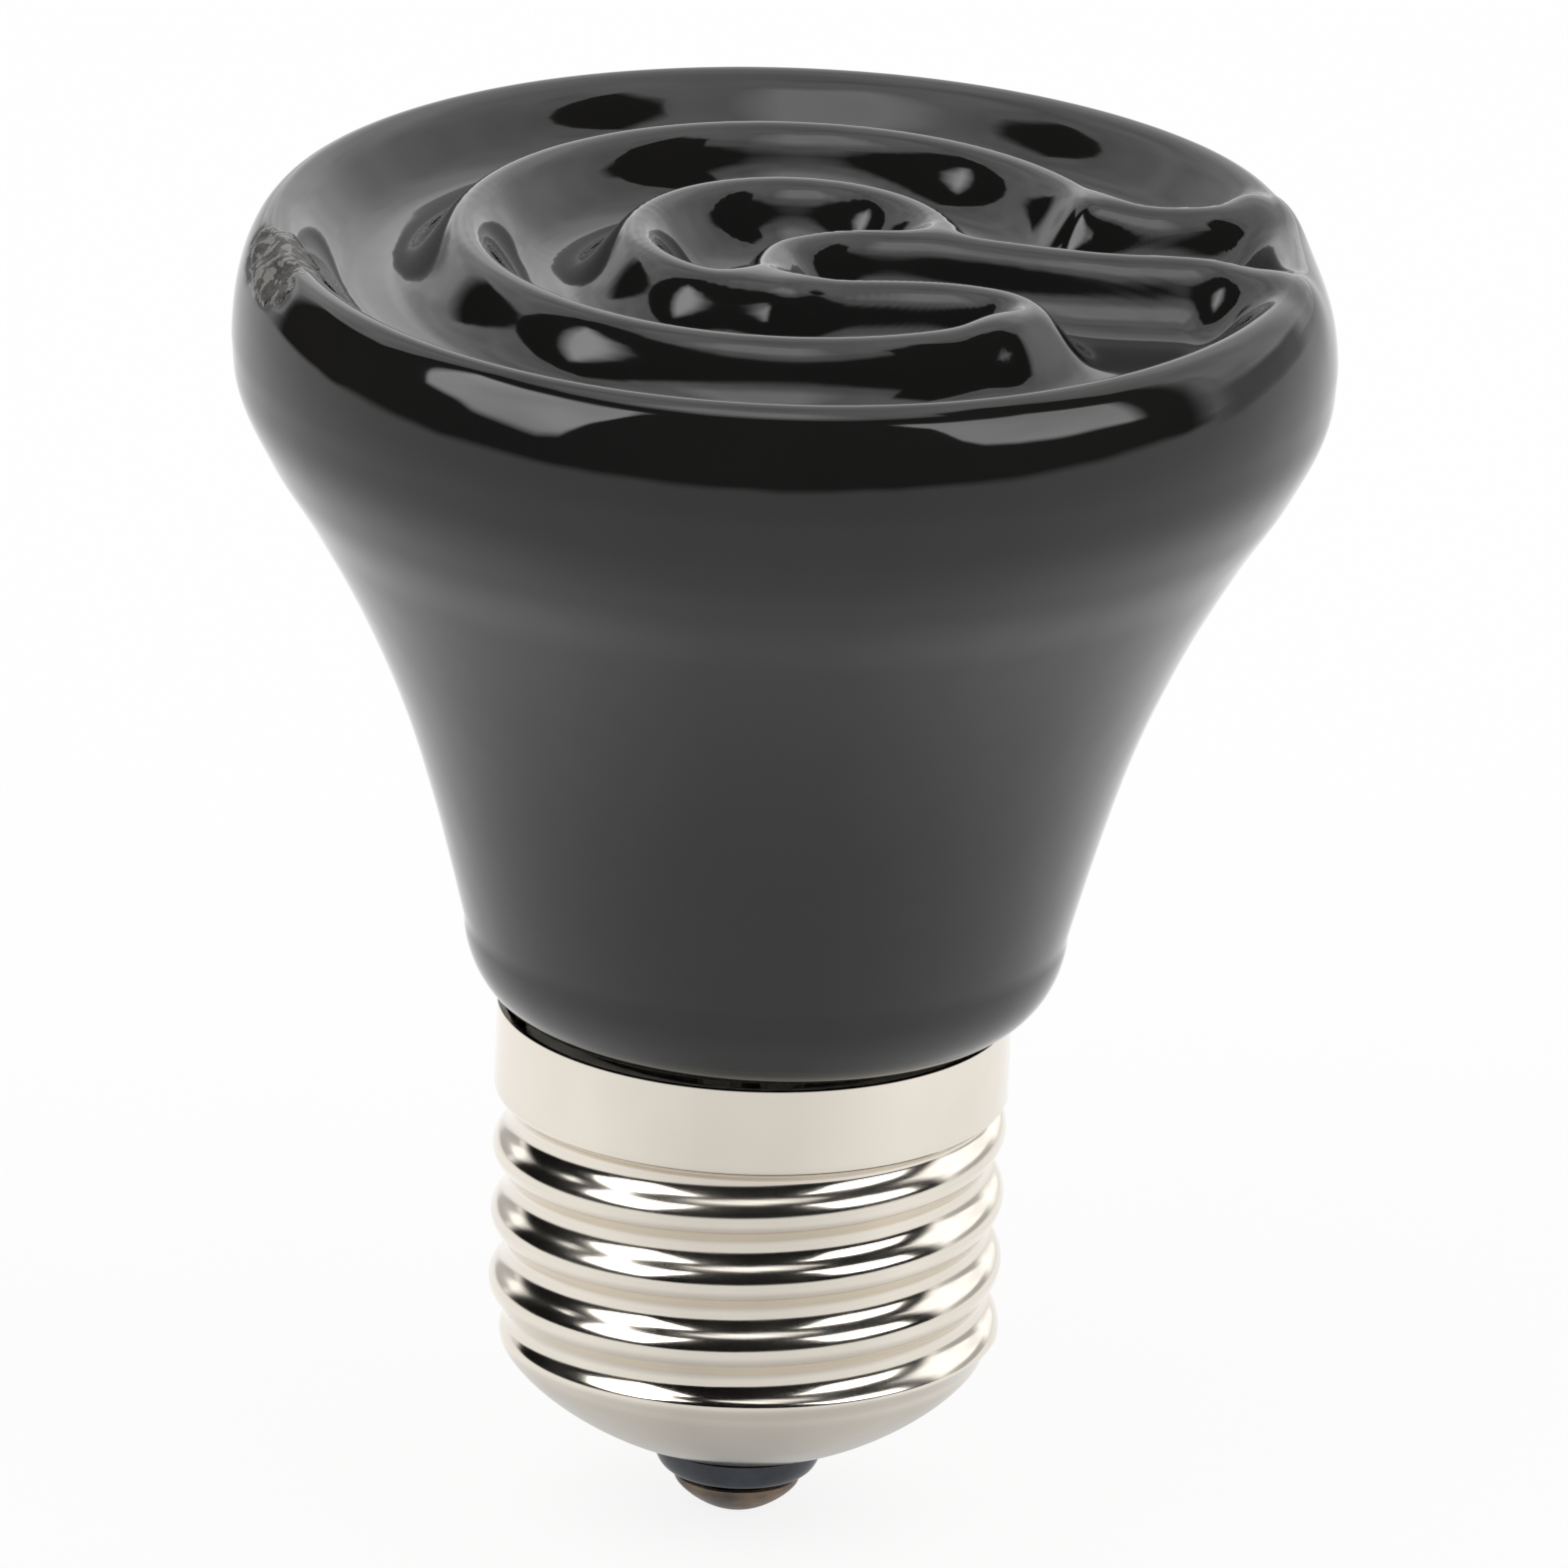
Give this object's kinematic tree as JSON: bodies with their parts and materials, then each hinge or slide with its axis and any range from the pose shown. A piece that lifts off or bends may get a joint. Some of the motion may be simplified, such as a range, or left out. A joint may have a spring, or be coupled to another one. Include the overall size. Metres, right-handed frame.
{
  "type": "ceramic heat emitter",
  "caption": "Black glazed ceramic heat emitter with a flared bell, a ridged heating face and an Edison screw cap.",
  "frame": {"origin": "centre of the flat tip of the centre contact, on the screw cap's axis", "axes": "+Z along the cap's axis towards the heating face; the front of the picture looks along +Y, with +X to its right"},
  "size_m": [0.0562, 0.0562, 0.0694],
  "materials": {
    "black_glaze": "glossy black glaze",
    "nickel_plate": "bright nickel plate on thin rolled sheet",
    "contact_plate": "bright nickel plate",
    "black_glass": "opaque black insulator glass",
    "cement": "matt cap cement",
    "resistance_wire": "oxidised resistance wire",
    "lead_wire": "bare nickel wire",
    "sleeve_fibre": "woven glass-fibre sleeve",
    "solder": "dull solder"
  },
  "bodies": {
    "root": {"ceramic_body": "black_glaze", "heating_coil": "resistance_wire", "centre_lead": "lead_wire", "shell_lead": "lead_wire", "centre_lead_sleeve": "sleeve_fibre", "shell_lead_sleeve": "sleeve_fibre", "cap_cement": "cement", "screw_shell": "nickel_plate", "cap_insulator": "black_glass", "centre_contact": "contact_plate", "shell_solder": "solder"}
  },
  "joints": []
}
